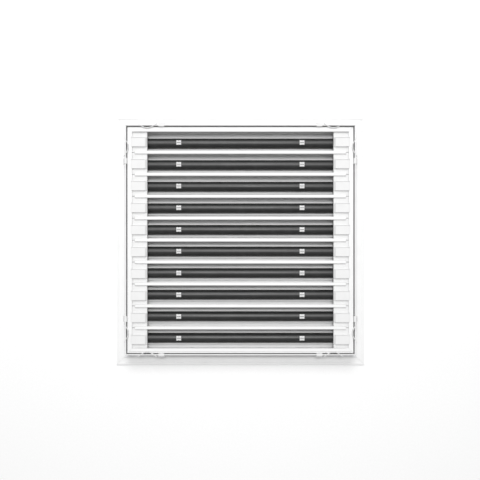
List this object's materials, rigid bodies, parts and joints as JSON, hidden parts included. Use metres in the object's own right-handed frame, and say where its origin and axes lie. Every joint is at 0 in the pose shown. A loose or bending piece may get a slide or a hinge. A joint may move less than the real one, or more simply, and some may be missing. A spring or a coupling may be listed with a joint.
{
  "type": "linear slot air grille",
  "caption": "Square ceiling grille: flanged frame with a removable core of parallel bars, and a half-round deflector that turns in every slot.",
  "frame": {"origin": "centre of the room-side face, at the bottom of the part as it lies face down", "axes": "+Z towards the duct, X along the slots, Y across the slots"},
  "size_m": [0.4412, 0.4412, 0.0389],
  "materials": {
    "frame_white": "satin",
    "core_white": "satin",
    "bar_white": "satin",
    "block_white": "matte",
    "spring_white": "satin",
    "rim_clip_white": "matte",
    "key_aluminium": "satin",
    "rod_steel": "satin",
    "deflector_black": "satin",
    "cap_black": "matte",
    "clip_white": "matte"
  },
  "bodies": {
    "frame": {"frame_rail_left": "frame_white", "frame_rail_right": "frame_white", "frame_rail_front": "frame_white", "frame_rail_rear": "frame_white", "frame_corner_keys": "key_aluminium", "springs_left": "spring_white", "springs_right": "spring_white", "springs_front": "spring_white", "springs_rear": "spring_white", "rim_clips": "rim_clip_white"},
    "core": {"core_rail_left": "core_white", "core_rail_right": "core_white", "core_rail_front": "core_white", "core_rail_rear": "core_white", "core_corner_keys": "key_aluminium", "t_bar_1": "bar_white", "t_bar_2": "bar_white", "t_bar_3": "bar_white", "t_bar_4": "bar_white", "t_bar_5": "bar_white", "t_bar_6": "bar_white", "t_bar_7": "bar_white", "t_bar_8": "bar_white", "t_bar_9": "bar_white", "spacer_blocks_left": "block_white", "spacer_blocks_right": "block_white", "tie_rods": "rod_steel", "tie_rod_nuts": "rod_steel"},
    "deflector_unit_1": {"deflector_1": "deflector_black", "deflector_end_caps_1": "cap_black", "deflector_clips_1": "clip_white"},
    "deflector_unit_2": {"deflector_2": "deflector_black", "deflector_end_caps_2": "cap_black", "deflector_clips_2": "clip_white"},
    "deflector_unit_3": {"deflector_3": "deflector_black", "deflector_end_caps_3": "cap_black", "deflector_clips_3": "clip_white"},
    "deflector_unit_4": {"deflector_4": "deflector_black", "deflector_end_caps_4": "cap_black", "deflector_clips_4": "clip_white"},
    "deflector_unit_5": {"deflector_5": "deflector_black", "deflector_end_caps_5": "cap_black", "deflector_clips_5": "clip_white"},
    "deflector_unit_6": {"deflector_6": "deflector_black", "deflector_end_caps_6": "cap_black", "deflector_clips_6": "clip_white"},
    "deflector_unit_7": {"deflector_7": "deflector_black", "deflector_end_caps_7": "cap_black", "deflector_clips_7": "clip_white"},
    "deflector_unit_8": {"deflector_8": "deflector_black", "deflector_end_caps_8": "cap_black", "deflector_clips_8": "clip_white"},
    "deflector_unit_9": {"deflector_9": "deflector_black", "deflector_end_caps_9": "cap_black", "deflector_clips_9": "clip_white"},
    "deflector_unit_10": {"deflector_10": "deflector_black", "deflector_end_caps_10": "cap_black", "deflector_clips_10": "clip_white"}
  },
  "joints": [
    {"name": "core_slide", "type": "slide", "parent": "frame", "child": "core", "axis": [0, 0, -1], "range_m": [0, 0.06]},
    {"name": "deflector_turn_1", "type": "hinge", "parent": "core", "child": "deflector_unit_1", "pos_m": [0, -0.17145, 0.014], "axis": [1, 0, 0], "range_deg": [-90, 90]},
    {"name": "deflector_turn_2", "type": "hinge", "parent": "core", "child": "deflector_unit_2", "pos_m": [0, -0.13335, 0.014], "axis": [1, 0, 0], "range_deg": [-90, 90]},
    {"name": "deflector_turn_3", "type": "hinge", "parent": "core", "child": "deflector_unit_3", "pos_m": [0, -0.09525, 0.014], "axis": [1, 0, 0], "range_deg": [-90, 90]},
    {"name": "deflector_turn_4", "type": "hinge", "parent": "core", "child": "deflector_unit_4", "pos_m": [0, -0.05715, 0.014], "axis": [1, 0, 0], "range_deg": [-90, 90]},
    {"name": "deflector_turn_5", "type": "hinge", "parent": "core", "child": "deflector_unit_5", "pos_m": [0, -0.01905, 0.014], "axis": [1, 0, 0], "range_deg": [-90, 90]},
    {"name": "deflector_turn_6", "type": "hinge", "parent": "core", "child": "deflector_unit_6", "pos_m": [0, 0.01905, 0.014], "axis": [1, 0, 0], "range_deg": [-90, 90]},
    {"name": "deflector_turn_7", "type": "hinge", "parent": "core", "child": "deflector_unit_7", "pos_m": [0, 0.05715, 0.014], "axis": [1, 0, 0], "range_deg": [-90, 90]},
    {"name": "deflector_turn_8", "type": "hinge", "parent": "core", "child": "deflector_unit_8", "pos_m": [0, 0.09525, 0.014], "axis": [1, 0, 0], "range_deg": [-90, 90]},
    {"name": "deflector_turn_9", "type": "hinge", "parent": "core", "child": "deflector_unit_9", "pos_m": [0, 0.13335, 0.014], "axis": [1, 0, 0], "range_deg": [-90, 90]},
    {"name": "deflector_turn_10", "type": "hinge", "parent": "core", "child": "deflector_unit_10", "pos_m": [0, 0.17145, 0.014], "axis": [1, 0, 0], "range_deg": [-90, 90]}
  ]
}
